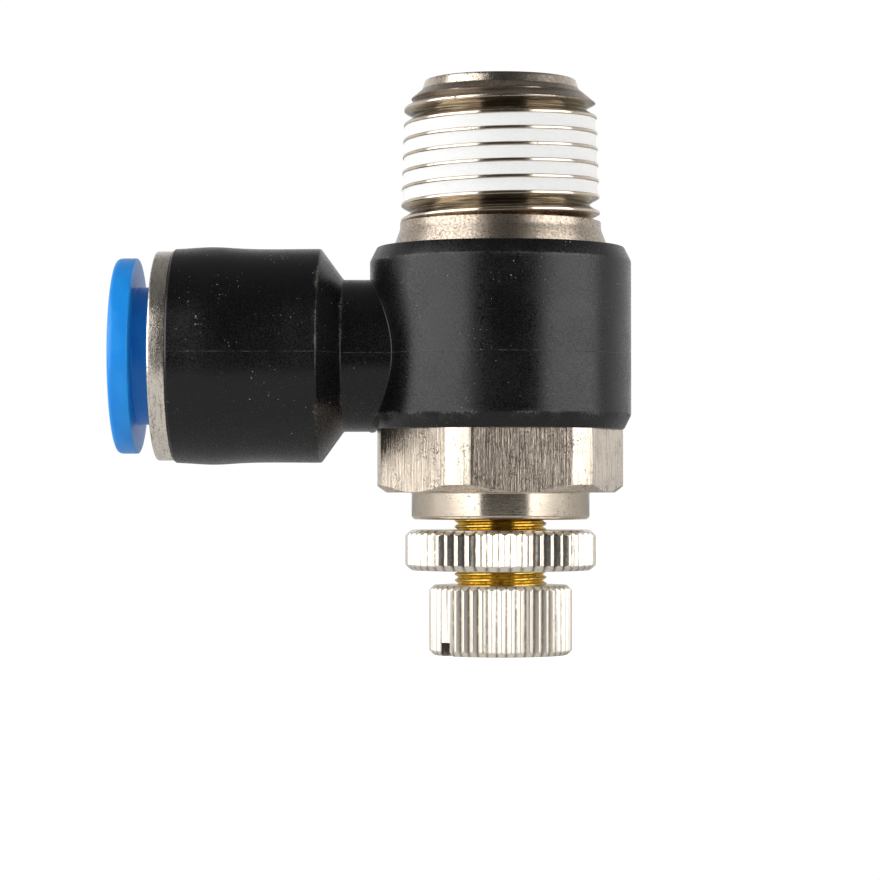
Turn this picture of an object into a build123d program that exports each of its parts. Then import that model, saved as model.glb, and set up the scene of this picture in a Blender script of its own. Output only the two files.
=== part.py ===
from build123d import *
import os
from math import atan, cos, degrees, pi, radians, sin, tan

# Flow control valve for compressed air: a hex-headed banjo stem with an R 3/8 taper thread,
# a swivelling plastic elbow with a push-in socket for 10 mm tube, and a fine-thread needle
# screw with a knurled knob and a knurled lock nut.
#
# Frame, in millimetres: the origin is on the stem axis at the gauge plane of the taper thread.
# +Z points out of the threaded nose, and the tube leaves along -X.

os.makedirs("parts", exist_ok=True)

# Taper pipe thread R 3/8: 19 threads per inch, 55 degree form, 1:16 on diameter
THREAD_PITCH = 1.337
THREAD_DEPTH = 0.856
THREAD_GAUGE_R = 8.331
THREAD_SLOPE = 1 / 32
THREAD_FLANK = 27.5
THREAD_ROOT_HALF = 0.10
THREAD_START_Z = -4.187
NOSE_TOP_Z = 9.0
NOSE_RIM_R = 6.36
NOSE_SHOULDER_R = 6.62
NOSE_SHOULDER_Z = 8.2
LEAD_R = 7.95
LEAD_Z = 7.1
LEAD_RUN_OUT = 1.55

# Stem: snap barb, journal, hex and collar
BARB_TOP_Z = -2.97
BARB_TOP_R = 8.46
BARB_LAND_Z = -3.56
BARB_R = 9.0
BARB_LOW_Z = -5.02
JOURNAL_R = 8.38
HEX_TOP_Z = -20.42
HEX_LOW_Z = -25.73
HEX_AF = 19.0
HEX_CORNER_R = 10.4
HEX_CHAMFER_R = 9.6
HEX_CHAMFER_H = 0.55
HEX_TURN = 11.0
COLLAR_R = 7.5
COLLAR_LOW_Z = -27.98
COLLAR_CHAMFER = 0.25

# Stem: bores and grooves
PORT_R = 5.2
PORT_STEP_Z = -8.5
CHAMBER_R = 4.3
CHAMBER_LOW_Z = -19.0
GLAND_R = 4.15
GLAND_LOW_Z = -25.3
SCREW_BORE_R = 3.93
CROSS_HOLE_R = 2.2
CROSS_HOLES = 4
BANJO_GROOVE_R = 6.6
BANJO_GROOVE_HALF = 2.8
RING_GROOVE_R = 7.15
RING_GROOVE_HALF = 0.85
UPPER_RING_Z = -8.7
LOWER_RING_Z = -18.75
RING_CENTRE_R = 7.78
RING_SECTION_R = 0.60

# Thread sealant: fills the grooves of five turns, a little below the crests
SEALANT_TOP_Z = 5.50
SEALANT_LOW_Z = -1.18
SEALANT_BELOW_CREST = 0.36

# Elbow body
TUBE_AXIS_Z = -14.2
BANJO_R = 11.0
BANJO_TOP_Z = -5.10
BANJO_CHAMFER_R = 0.6
BANJO_CHAMFER_H = 1.2
BANJO_BORE_R = 8.45
GALLERY_R = 9.3
GALLERY_HALF = 2.5
NECK_R = 6.41
NECK_END_X = -13.2
BARREL_START_X = -15.1
BARREL_R = 9.02
BARREL_END_X = -27.5
HEX_CLEAR_R = 10.6
PASSAGE_R = 3.9
TUBE_STOP_X = -16.0
TUBE_SOCKET_R = 5.1
SEAL_SEAT_X = -20.2
SEAL_SEAT_R = 7.0
CARTRIDGE_SEAT_X = -23.5
CARTRIDGE_R = 8.0

# Push-in cartridge: seal, support ring, toothed claw, metal cap ring and release collet
SEAL_LIP_R = 4.85
CLAW_RING_X = -25.2
CLAW_THICK = 0.35
CLAW_TEETH = 12
CLAW_TIP_R = 5.0
CLAW_ROOT_R = 6.6
CLAW_LEAN = 1.1
CAP_R = 8.83
CAP_FACE_X = -28.95
CAP_INSERT_X = -25.6
CAP_LIP_X = -27.3
CAP_LIP_R = 6.0
CAP_POCKET_R = 6.6
COLLET_FACE_X = -32.3
COLLET_FLANGE_X = -30.57
COLLET_FLANGE_R = 8.25
COLLET_SLEEVE_R = 5.8
COLLET_BORE_R = 5.1
COLLET_BEAD_R = 6.4
COLLET_BEAD_X = -27.2
COLLET_END_X = -26.55

# Needle screw M8 x 0.5, lock nut and knob
SCREW_PITCH = 0.5
SCREW_CREST_R = 3.88
SCREW_DEPTH = 0.30
SCREW_ROOT_HALF = 0.02
SCREW_FLANK = 30.0
SCREW_TOP_Z = -23.3
SCREW_LOW_Z = -33.6
NEEDLE_TIP_Z = -6.5
NEEDLE_TIP_R = 1.17
NEEDLE_CONE = 15.0
NEEDLE_SHANK_R = 3.0
PISTON_TOP_Z = -19.6
PISTON_LOW_Z = -22.3
PISTON_R = 4.08
NEEDLE_RING_Z = -20.95
NEEDLE_RING_GROOVE_R = 3.1
NEEDLE_RING_HALF = 0.7
NEEDLE_RING_CENTRE_R = 3.62
NEEDLE_RING_SECTION_R = 0.48
SPIGOT_R = 3.2
SPIGOT_END_Z = -37.9
NUT_TOP_Z = -28.85
NUT_LOW_Z = -32.25
NUT_R = 8.03
NUT_RIDGES = 50
NUT_KNURL_DEPTH = 0.31
NUT_CHAMFER_R = 0.52
NUT_CHAMFER_H = 0.45
NUT_TURN = 2.6
KNOB_TOP_Z = -33.49
KNOB_LOW_Z = -39.35
KNOB_R = 6.03
KNOB_RIDGES = 46
KNOB_KNURL_DEPTH = 0.25
KNOB_CHAMFER = 0.4
KNOB_TURN = 0.9
SLOT_WIDTH = 1.3
SLOT_DEPTH = 1.15
SLOT_TURN = 219.0
KNURL_CREST = 0.04

# Seat sleeve and check seal inside the port
SEAT_ORIFICE_R = 2.0
SEAT_TUBE_R = 2.6
SEAT_FLANGE_TOP_Z = -7.3
SEAT_HUB_TOP_Z = -6.3
SEAT_TOP_Z = -2.8
SEAT_WINDOWS = 8
SEAT_WINDOW_R = 0.55
SEAT_WINDOW_PCD_R = 3.7


def turned(*profile):
    """A solid turned about the stem axis from (radius, height) points."""
    points = [(r, 0, z) for r, z in profile]
    return revolve(make_face(Polyline(*points, close=True)), Axis.Z)


def turned_on_tube(*profile):
    """A solid turned about the tube axis from (x, radius) points."""
    points = [(x, 0, TUBE_AXIS_Z + r) for x, r in profile]
    axis = Axis((0, 0, TUBE_AXIS_Z), (1, 0, 0))
    return revolve(make_face(Polyline(*points, close=True)), axis)


def rod(radius, low, high):
    """A plain cylinder on the stem axis between two heights."""
    return Pos(0, 0, (low + high) / 2) * Cylinder(radius, high - low)


def o_ring(centre_r, section_r, z):
    """A round ring lying square to the stem axis."""
    return Pos(0, 0, z) * Torus(centre_r, section_r)


def knurled_blank(radius, ridges, depth, low, high, turn):
    """A straight-knurled bar: V grooves between narrow crest lands."""
    step = 2 * pi / ridges
    points = []
    for i in range(ridges):
        middle = radians(turn - 90) + i * step
        half = KNURL_CREST / radius
        for angle, r in ((middle - half, radius), (middle + half, radius), (middle + step / 2, radius - depth)):
            points.append((r * cos(angle), r * sin(angle), low))
    return extrude(make_face(Polyline(*points, close=True)), high - low, dir=(0, 0, 1))


def helical_groove(pitch, depth, half_root, flank, radius, slope, z_start, z_end):
    """The space that a right-hand thread groove takes out of a cone or a cylinder."""
    start_r = radius - slope * z_start
    if slope:
        path = Helix(pitch, z_end - z_start, start_r, (0, 0, z_start), cone_angle=-degrees(atan(slope)))
    else:
        path = Helix(pitch, z_end - z_start, start_r, (0, 0, z_start))
    above = 0.06
    half_top = half_root + (depth + above) * tan(radians(flank))
    section = ((above, -half_top), (-depth, -half_root), (-depth, half_root), (above, half_top))
    points = [(start_r + r, 0, z_start + z) for r, z in section]
    return sweep(make_face(Polyline(*points, close=True)), path=path, is_frenet=True)


def crest_r(z):
    """Crest radius of the taper thread at a height."""
    return THREAD_GAUGE_R - THREAD_SLOPE * z


def make_stem():
    high = NOSE_TOP_Z + THREAD_PITCH
    cone = turned((0, BARB_TOP_Z), (crest_r(BARB_TOP_Z), BARB_TOP_Z), (crest_r(high), high), (0, high))
    groove = helical_groove(
        THREAD_PITCH,
        THREAD_DEPTH,
        THREAD_ROOT_HALF,
        THREAD_FLANK,
        THREAD_GAUGE_R,
        THREAD_SLOPE,
        THREAD_START_Z,
        high,
    )
    nose = turned(
        (0, BARB_TOP_Z - 1),
        (LEAD_R + LEAD_RUN_OUT, BARB_TOP_Z - 1),
        (LEAD_R + LEAD_RUN_OUT, LEAD_Z - LEAD_RUN_OUT),
        (LEAD_R, LEAD_Z),
        (NOSE_SHOULDER_R, NOSE_SHOULDER_Z),
        (NOSE_RIM_R, NOSE_TOP_Z),
        (0, NOSE_TOP_Z),
    )
    threaded = (cone - groove) & nose
    shank = turned(
        (0, HEX_TOP_Z),
        (JOURNAL_R, HEX_TOP_Z),
        (JOURNAL_R, BARB_LOW_Z),
        (BARB_R, BARB_LOW_Z),
        (BARB_TOP_R, BARB_LAND_Z),
        (BARB_TOP_R, BARB_TOP_Z),
        (0, BARB_TOP_Z),
    )
    for z in (UPPER_RING_Z, LOWER_RING_Z):
        shank -= turned(
            (RING_GROOVE_R, z - RING_GROOVE_HALF),
            (JOURNAL_R + 1, z - RING_GROOVE_HALF),
            (JOURNAL_R + 1, z + RING_GROOVE_HALF),
            (RING_GROOVE_R, z + RING_GROOVE_HALF),
        )
    shank -= turned(
        (BANJO_GROOVE_R, TUBE_AXIS_Z - BANJO_GROOVE_HALF),
        (JOURNAL_R + 1, TUBE_AXIS_Z - BANJO_GROOVE_HALF),
        (JOURNAL_R + 1, TUBE_AXIS_Z + BANJO_GROOVE_HALF),
        (BANJO_GROOVE_R, TUBE_AXIS_Z + BANJO_GROOVE_HALF),
    )
    flats = RegularPolygon(HEX_AF / 2, 6, major_radius=False, rotation=HEX_TURN)
    hexagon = Pos(0, 0, HEX_LOW_Z) * extrude(flats, HEX_TOP_Z - HEX_LOW_Z)
    hexagon &= turned(
        (0, HEX_LOW_Z),
        (HEX_CHAMFER_R, HEX_LOW_Z),
        (HEX_CORNER_R, HEX_LOW_Z + HEX_CHAMFER_H),
        (HEX_CORNER_R, HEX_TOP_Z),
        (0, HEX_TOP_Z),
    )
    collar = turned(
        (0, COLLAR_LOW_Z),
        (COLLAR_R - COLLAR_CHAMFER, COLLAR_LOW_Z),
        (COLLAR_R, COLLAR_LOW_Z + COLLAR_CHAMFER),
        (COLLAR_R, HEX_LOW_Z),
        (0, HEX_LOW_Z),
    )
    stem = threaded + shank + hexagon + collar
    stem -= turned(
        (0, COLLAR_LOW_Z - 1),
        (SCREW_BORE_R, COLLAR_LOW_Z - 1),
        (SCREW_BORE_R, GLAND_LOW_Z),
        (GLAND_R, GLAND_LOW_Z),
        (GLAND_R, CHAMBER_LOW_Z),
        (CHAMBER_R, CHAMBER_LOW_Z + 0.2),
        (CHAMBER_R, PORT_STEP_Z),
        (PORT_R, PORT_STEP_Z),
        (PORT_R, NOSE_TOP_Z - 0.3),
        (PORT_R + 0.3, NOSE_TOP_Z),
        (PORT_R + 0.3, NOSE_TOP_Z + 1),
        (0, NOSE_TOP_Z + 1),
    )
    for i in range(CROSS_HOLES):
        drill = Pos(6, 0, TUBE_AXIS_Z) * Rot(0, 90, 0) * Cylinder(CROSS_HOLE_R, 6)
        stem -= Rot(0, 0, 45 + 360 / CROSS_HOLES * i) * drill
    return stem


def make_sealant(stem):
    low = crest_r(SEALANT_LOW_Z) - SEALANT_BELOW_CREST
    high = crest_r(SEALANT_TOP_Z) - SEALANT_BELOW_CREST
    inner = crest_r(SEALANT_TOP_Z) - THREAD_DEPTH - 0.2
    band = turned((inner, SEALANT_LOW_Z), (low, SEALANT_LOW_Z), (high, SEALANT_TOP_Z), (inner, SEALANT_TOP_Z))
    return band - stem


def make_seat_sleeve():
    sleeve = turned(
        (SEAT_ORIFICE_R, PORT_STEP_Z),
        (PORT_R, PORT_STEP_Z),
        (PORT_R, SEAT_FLANGE_TOP_Z),
        (3.1, SEAT_FLANGE_TOP_Z),
        (3.1, SEAT_HUB_TOP_Z),
        (SEAT_TUBE_R, SEAT_HUB_TOP_Z),
        (SEAT_TUBE_R, SEAT_TOP_Z - 0.9),
        (SEAT_TUBE_R + 0.3, SEAT_TOP_Z - 0.9),
        (SEAT_TUBE_R + 0.3, SEAT_TOP_Z - 0.5),
        (SEAT_TUBE_R, SEAT_TOP_Z),
        (SEAT_ORIFICE_R + 0.25, SEAT_TOP_Z),
        (SEAT_ORIFICE_R, SEAT_TOP_Z - 0.4),
    )
    for i in range(SEAT_WINDOWS):
        window = Pos(SEAT_WINDOW_PCD_R, 0, -8) * Cylinder(SEAT_WINDOW_R, 3)
        sleeve -= Rot(0, 0, 360 / SEAT_WINDOWS * i) * window
    return sleeve


def make_check_seal():
    return turned(
        (SEAT_TUBE_R, SEAT_HUB_TOP_Z),
        (3.9, SEAT_HUB_TOP_Z),
        (4.5, SEAT_HUB_TOP_Z + 0.7),
        (5.1, SEAT_HUB_TOP_Z + 2.4),
        (4.7, SEAT_HUB_TOP_Z + 2.5),
        (4.0, SEAT_HUB_TOP_Z + 1.2),
        (3.3, SEAT_HUB_TOP_Z + 1.2),
        (3.1, SEAT_TOP_Z - 1.0),
        (SEAT_TUBE_R, SEAT_TOP_Z - 0.9),
    )


def make_elbow():
    chamfer_r = BANJO_R - BANJO_CHAMFER_R
    banjo = turned(
        (0, HEX_TOP_Z),
        (chamfer_r, HEX_TOP_Z),
        (BANJO_R, HEX_TOP_Z + BANJO_CHAMFER_H),
        (BANJO_R, BANJO_TOP_Z - BANJO_CHAMFER_H),
        (chamfer_r, BANJO_TOP_Z),
        (0, BANJO_TOP_Z),
    )
    neck = turned_on_tube(
        (-4, 0),
        (-4, NECK_R),
        (NECK_END_X, NECK_R),
        (BARREL_START_X, BARREL_R),
        (BARREL_START_X - 1, BARREL_R),
        (BARREL_START_X - 1, 0),
    )
    low, high = BARREL_END_X, BARREL_START_X
    z = TUBE_AXIS_Z
    swell = Spline((high, 0, z + BARREL_R), (-20, 0, z + 9.06), (-24, 0, z + 9.18), (low + 0.2, 0, z + 8.98))
    edge = Polyline((low + 0.2, 0, z + 8.98), (low, 0, z + 8.85), (low, 0, z), (high, 0, z), (high, 0, z + BARREL_R))
    barrel = revolve(make_face(swell + edge), Axis((0, 0, z), (1, 0, 0)))
    elbow = banjo + neck + barrel
    # The neck's underside is relieved where it passes over the corners of the hex
    elbow -= rod(HEX_CLEAR_R, HEX_TOP_Z - 2, HEX_TOP_Z)
    elbow -= turned(
        (0, HEX_TOP_Z - 1),
        (BANJO_BORE_R, HEX_TOP_Z - 1),
        (BANJO_BORE_R, TUBE_AXIS_Z - GALLERY_HALF),
        (GALLERY_R, TUBE_AXIS_Z - GALLERY_HALF + 0.6),
        (GALLERY_R, TUBE_AXIS_Z + GALLERY_HALF - 0.6),
        (BANJO_BORE_R, TUBE_AXIS_Z + GALLERY_HALF),
        (BANJO_BORE_R, BANJO_TOP_Z + 1),
        (0, BANJO_TOP_Z + 1),
    )
    elbow -= turned_on_tube(
        (-7, 0),
        (-7, PASSAGE_R),
        (TUBE_STOP_X, PASSAGE_R),
        (TUBE_STOP_X, TUBE_SOCKET_R),
        (SEAL_SEAT_X, TUBE_SOCKET_R),
        (SEAL_SEAT_X, SEAL_SEAT_R),
        (CARTRIDGE_SEAT_X, SEAL_SEAT_R),
        (CARTRIDGE_SEAT_X, CARTRIDGE_R),
        (BARREL_END_X - 1, CARTRIDGE_R),
        (BARREL_END_X - 1, 0),
    )
    return elbow


def make_tube_seal():
    return turned_on_tube(
        (-20.3, 5.6),
        (-20.3, 6.9),
        (-23.3, 6.9),
        (-23.3, 5.7),
        (-22.2, 5.3),
        (-21.6, SEAL_LIP_R),
        (-21.2, SEAL_LIP_R),
    )


def make_support_ring():
    return turned_on_tube(
        (CARTRIDGE_SEAT_X, 5.25),
        (CARTRIDGE_SEAT_X, CARTRIDGE_R - 0.05),
        (CLAW_RING_X + 0.05, CARTRIDGE_R - 0.05),
        (CLAW_RING_X + 0.05, CLAW_ROOT_R + 0.1),
        (CLAW_RING_X + 1.6, 5.25),
    )


def make_claw():
    back = CLAW_RING_X - CLAW_THICK
    outer = CARTRIDGE_R - 0.05
    lean = CLAW_LEAN
    claw = turned_on_tube(
        (back, outer),
        (CLAW_RING_X, outer),
        (CLAW_RING_X, CLAW_ROOT_R),
        (CLAW_RING_X + lean, CLAW_TIP_R),
        (back + lean, CLAW_TIP_R),
        (back, CLAW_ROOT_R),
    )
    for i in range(CLAW_TEETH):
        gap = Pos((back + CLAW_RING_X + lean) / 2, 0, 5.7) * Box(4, 0.7, 2.4)
        claw -= Pos(0, 0, TUBE_AXIS_Z) * Rot(360 / CLAW_TEETH * i, 0, 0) * gap
    return claw


def make_cap_ring():
    return turned_on_tube(
        (CAP_FACE_X, CAP_LIP_R + 0.25),
        (CAP_FACE_X, CAP_R - 0.2),
        (CAP_FACE_X + 0.2, CAP_R),
        (BARREL_END_X, CAP_R),
        (BARREL_END_X, CARTRIDGE_R - 0.02),
        (CAP_INSERT_X, CARTRIDGE_R - 0.02),
        (CAP_INSERT_X, CAP_POCKET_R),
        (CAP_LIP_X, CAP_POCKET_R),
        (CAP_LIP_X, CAP_LIP_R),
        (CAP_FACE_X + 0.25, CAP_LIP_R),
    )


def make_collet():
    return turned_on_tube(
        (COLLET_FACE_X, COLLET_BORE_R + 0.5),
        (COLLET_FACE_X, COLLET_FLANGE_R - 0.45),
        (COLLET_FACE_X + 0.13, COLLET_FLANGE_R - 0.13),
        (COLLET_FACE_X + 0.45, COLLET_FLANGE_R),
        (COLLET_FLANGE_X - 0.15, COLLET_FLANGE_R),
        (COLLET_FLANGE_X, COLLET_FLANGE_R - 0.15),
        (COLLET_FLANGE_X, COLLET_SLEEVE_R),
        (COLLET_BEAD_X, COLLET_SLEEVE_R),
        (COLLET_BEAD_X, COLLET_BEAD_R),
        (COLLET_END_X - 0.3, COLLET_BEAD_R),
        (COLLET_END_X, COLLET_SLEEVE_R),
        (COLLET_END_X, COLLET_BORE_R),
        (COLLET_FACE_X + 0.5, COLLET_BORE_R),
    )


def make_needle():
    cone_run = (NEEDLE_SHANK_R - NEEDLE_TIP_R) / tan(radians(NEEDLE_CONE))
    blank = turned(
        (0, NEEDLE_TIP_Z),
        (NEEDLE_TIP_R - 0.15, NEEDLE_TIP_Z),
        (NEEDLE_TIP_R, NEEDLE_TIP_Z - 0.2),
        (NEEDLE_SHANK_R, NEEDLE_TIP_Z - 0.2 - cone_run),
        (NEEDLE_SHANK_R, PISTON_TOP_Z),
        (PISTON_R - 0.1, PISTON_TOP_Z),
        (PISTON_R, PISTON_TOP_Z - 0.1),
        (PISTON_R, NEEDLE_RING_Z + NEEDLE_RING_HALF),
        (NEEDLE_RING_GROOVE_R, NEEDLE_RING_Z + NEEDLE_RING_HALF),
        (NEEDLE_RING_GROOVE_R, NEEDLE_RING_Z - NEEDLE_RING_HALF),
        (PISTON_R, NEEDLE_RING_Z - NEEDLE_RING_HALF),
        (PISTON_R, PISTON_LOW_Z),
        (SCREW_CREST_R - 0.35, PISTON_LOW_Z),
        (SCREW_CREST_R - 0.35, SCREW_TOP_Z),
        (0, SCREW_TOP_Z),
    )
    spigot = rod(SPIGOT_R, SPIGOT_END_Z, SCREW_LOW_Z)
    thread = rod(SCREW_CREST_R, SCREW_LOW_Z - 0.5, SCREW_TOP_Z + 0.5)
    thread -= helical_groove(
        SCREW_PITCH,
        SCREW_DEPTH,
        SCREW_ROOT_HALF,
        SCREW_FLANK,
        SCREW_CREST_R,
        0,
        SCREW_LOW_Z - 1.5,
        SCREW_TOP_Z + 1.5,
    )
    thread &= rod(SCREW_CREST_R + 1, SCREW_LOW_Z, SCREW_TOP_Z)
    return blank + thread + spigot


def make_lock_nut():
    flat = NUT_R - NUT_CHAMFER_R
    nut = knurled_blank(NUT_R, NUT_RIDGES, NUT_KNURL_DEPTH, NUT_LOW_Z, NUT_TOP_Z, NUT_TURN)
    nut &= turned(
        (SCREW_BORE_R, NUT_LOW_Z + 0.3),
        (SCREW_BORE_R + 0.3, NUT_LOW_Z),
        (flat, NUT_LOW_Z),
        (NUT_R + 0.001, NUT_LOW_Z + NUT_CHAMFER_H),
        (NUT_R + 0.001, NUT_TOP_Z - NUT_CHAMFER_H),
        (flat, NUT_TOP_Z),
        (SCREW_BORE_R + 0.3, NUT_TOP_Z),
        (SCREW_BORE_R, NUT_TOP_Z - 0.3),
    )
    return nut


def make_knob():
    knob = knurled_blank(KNOB_R, KNOB_RIDGES, KNOB_KNURL_DEPTH, KNOB_LOW_Z, KNOB_TOP_Z, KNOB_TURN)
    knob &= turned(
        (0, KNOB_LOW_Z),
        (KNOB_R - 0.40, KNOB_LOW_Z),
        (KNOB_R - 0.12, KNOB_LOW_Z + 0.12),
        (KNOB_R + 0.001, KNOB_LOW_Z + 0.40),
        (KNOB_R + 0.001, KNOB_TOP_Z - KNOB_CHAMFER),
        (KNOB_R - KNOB_CHAMFER, KNOB_TOP_Z),
        (0, KNOB_TOP_Z),
    )
    knob -= rod(SPIGOT_R, SPIGOT_END_Z, KNOB_TOP_Z + 1)
    knob -= rod(SCREW_CREST_R + 0.02, SCREW_LOW_Z, KNOB_TOP_Z + 1)
    slot = Pos(0, 0, KNOB_LOW_Z + SLOT_DEPTH / 2 - 0.5) * Box(20, SLOT_WIDTH, SLOT_DEPTH + 1)
    return knob - Rot(0, 0, SLOT_TURN) * slot


stem_body = make_stem()
pieces = {
    "stem_body": stem_body,
    "thread_sealant": make_sealant(stem_body),
    "seat_sleeve": make_seat_sleeve(),
    "check_lip_seal": make_check_seal(),
    "upper_o_ring": o_ring(RING_CENTRE_R, RING_SECTION_R, UPPER_RING_Z),
    "lower_o_ring": o_ring(RING_CENTRE_R, RING_SECTION_R, LOWER_RING_Z),
    "elbow_body": make_elbow(),
    "tube_seal": make_tube_seal(),
    "claw_support_ring": make_support_ring(),
    "claw_washer": make_claw(),
    "collet_cap_ring": make_cap_ring(),
    "release_collet": make_collet(),
    "needle_screw": make_needle(),
    "needle_o_ring": o_ring(NEEDLE_RING_CENTRE_R, NEEDLE_RING_SECTION_R, NEEDLE_RING_Z),
    "lock_nut": make_lock_nut(),
    "adjust_knob": make_knob(),
}

for name, piece in pieces.items():
    export_step(piece, f"parts/{name}.step")
    print(name, round(piece.volume, 2), "mm3", len(piece.solids()), "solid")
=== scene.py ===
import math
from functools import partial

import bmesh
import bpy
import numpy as np
from mathutils import Matrix, Vector


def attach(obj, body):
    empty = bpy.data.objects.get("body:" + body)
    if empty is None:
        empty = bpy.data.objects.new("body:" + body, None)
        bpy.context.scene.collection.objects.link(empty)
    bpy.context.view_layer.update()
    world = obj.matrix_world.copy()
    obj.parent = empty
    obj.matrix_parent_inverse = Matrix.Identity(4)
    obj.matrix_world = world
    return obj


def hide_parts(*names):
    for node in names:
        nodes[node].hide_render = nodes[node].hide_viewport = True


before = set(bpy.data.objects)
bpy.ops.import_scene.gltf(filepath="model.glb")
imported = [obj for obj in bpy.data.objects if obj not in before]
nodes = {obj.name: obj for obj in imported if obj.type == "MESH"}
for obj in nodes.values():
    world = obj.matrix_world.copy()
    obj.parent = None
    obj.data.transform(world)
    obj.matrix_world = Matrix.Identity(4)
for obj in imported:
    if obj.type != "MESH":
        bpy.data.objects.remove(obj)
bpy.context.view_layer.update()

# lengths in the dictionaries are millimetres, and heights and stations are along the frame's Z and X
millimetre = 0.001
turn = 2.0 * math.pi
print("frame loaded,", len(nodes), "nodes")


# helpers for shapes

# lower of two surfaces, with the crease between them rounded over a width k
def smoothMin(a, b, k):
    return np.minimum(a, b) - np.maximum(k - np.abs(a - b), 0.0) ** 2 / (4.0 * k)


# higher of two surfaces, with the crease between them rounded over a width k
def smoothMax(a, b, k):
    return -smoothMin(-a, -b, k)


# a closed outline whose corners are replaced by parabola arcs that start "cut" before each corner
# and end "cut" after it; a cut never takes more than 45% of an edge
def roundOutline(points, cuts, steps=5):
    corner = np.array(points, float)
    before = np.roll(corner, 1, axis=0) - corner
    after = np.roll(corner, -1, axis=0) - corner
    beforeLength = np.linalg.norm(before, axis=1)
    afterLength = np.linalg.norm(after, axis=1)
    reach = np.broadcast_to(np.array(cuts, float), beforeLength.shape)
    reach = np.minimum(reach, 0.45 * np.minimum(beforeLength, afterLength))
    first = corner + before * (reach / beforeLength)[:, None]
    last = corner + after * (reach / afterLength)[:, None]
    t = np.linspace(0.0, 1.0, steps)[None, :, None]
    arc = (1 - t) ** 2 * first[:, None, :] + 2 * t * (1 - t) * corner[:, None, :] + t ** 2 * last[:, None, :]
    return arc.reshape(-1, 2)


# a mesh from a grid of points; rows or columns that close on themselves are joined by index,
# and points that fall together at seams, poles and cut rows are welded afterwards
def gridObject(name, x, y, z, closeRows=True, closeColumns=True, sharpAngle=35.0, attributes=None):
    rows, columns = x.shape
    points = np.stack([x, y, z], axis=-1).reshape(-1, 3) * millimetre
    i = np.arange(rows if closeRows else rows - 1)[:, None] * columns
    j = np.arange(columns if closeColumns else columns - 1)[None, :]
    iNext, jNext = (i + columns) % (rows * columns), (j + 1) % columns
    quads = np.stack([i + j, i + jNext, iNext + jNext, iNext + j], axis=-1)
    mesh = bpy.data.meshes.new(name)
    mesh.from_pydata(points.tolist(), [], quads.reshape(-1, 4).tolist())
    for key, values in (attributes or {}).items():
        field = mesh.attributes.new(key, "FLOAT", "POINT")
        field.data.foreach_set("value", np.asarray(values, np.float32).ravel())
    obj = bpy.data.objects.new(name, mesh)
    bpy.context.scene.collection.objects.link(obj)
    cleanMesh(obj, sharpAngle)
    return obj


# welds doubled points, turns the faces outwards and marks edges sharper than the angle
def cleanMesh(obj, sharpAngle):
    work = bmesh.new()
    work.from_mesh(obj.data)
    bmesh.ops.remove_doubles(work, verts=work.verts, dist=2e-7)
    bmesh.ops.dissolve_degenerate(work, edges=work.edges, dist=1e-7)
    bmesh.ops.recalc_face_normals(work, faces=work.faces)
    work.to_mesh(obj.data)
    work.free()
    obj.data.polygons.foreach_set("use_smooth", np.ones(len(obj.data.polygons), bool))
    obj.data.set_sharp_from_angle(angle=math.radians(sharpAngle))
    obj.data.update()


# a profile of (radius, height) rows turned about the stem axis
def turnedGrid(profile, angles):
    r, z = profile[:, 0][:, None], profile[:, 1][:, None]
    return r * np.cos(angles)[None, :], r * np.sin(angles)[None, :], z + 0.0 * angles[None, :]


# a profile of (station along X, radius) rows turned about the tube axis
def tubeGrid(profile, angles, axisZ):
    x, r = profile[:, 0][:, None], profile[:, 1][:, None]
    return x + 0.0 * angles[None, :], r * np.sin(angles)[None, :], axisZ + r * np.cos(angles)[None, :]


# joins or cuts one finished mesh with others and keeps the result as plain mesh data
def combine(obj, others, operation, sharpAngle=35.0):
    for other in others:
        step = obj.modifiers.new("combine", "BOOLEAN")
        step.operation = operation
        step.solver = "EXACT"
        step.object = other
    bpy.context.view_layer.update()
    solved = obj.evaluated_get(bpy.context.evaluated_depsgraph_get())
    shape = bpy.data.meshes.new_from_object(solved)
    obj.modifiers.clear()
    obj.data = shape
    for other in others:
        bpy.data.objects.remove(other)
    cleanMesh(obj, sharpAngle)
    return obj


# radius of a thread at a height and angle: the distance to the nearest groove centre on the helix gives
# a straight flank, which is rounded into the root below and into the crest cone above
def threadRadius(z, angle, spec):
    crest = spec["gaugeRadius"] - spec["taper"] * z
    turns = (z - spec["grooveHeight"]) / spec["pitch"] - angle / turn
    away = np.abs((turns + 0.5) % 1.0 - 0.5) * spec["pitch"]
    flank = crest - spec["depth"] + (away - spec["rootHalf"]) / math.tan(math.radians(spec["flank"]))
    return smoothMin(crest, smoothMax(crest - spec["depth"], flank, spec["rootRound"]), spec["crestRound"])


# heights of rows that climb with the helix, at fixed places across each pitch, cut off at both ends
def helixRows(low, high, angles, phases, spec):
    first = math.floor((low - spec["grooveHeight"]) / spec["pitch"]) - 1
    last = math.ceil((high - spec["grooveHeight"]) / spec["pitch"])
    starts = (np.arange(first, last + 1)[:, None] + phases[None, :]).ravel()
    rows = spec["grooveHeight"] + spec["pitch"] * (starts[:, None] + angles[None, :] / turn)
    return np.clip(rows, low, high)


# gives a piece its material and its body, and hides the nodes it stands for
def finishPiece(obj, material, body, slot, *replaced):
    obj.data.materials.clear()
    obj.data.materials.append(material)
    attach(obj, body)
    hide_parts(*replaced)


# helpers for materials

multiply, multiplyAdd = {"operation": "MULTIPLY"}, {"operation": "MULTIPLY_ADD"}
larger, positive = {"operation": "MAXIMUM"}, {"operation": "ABSOLUTE"}
colours, numbers = {"data_type": "RGBA"}, {"data_type": "FLOAT"}


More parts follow.
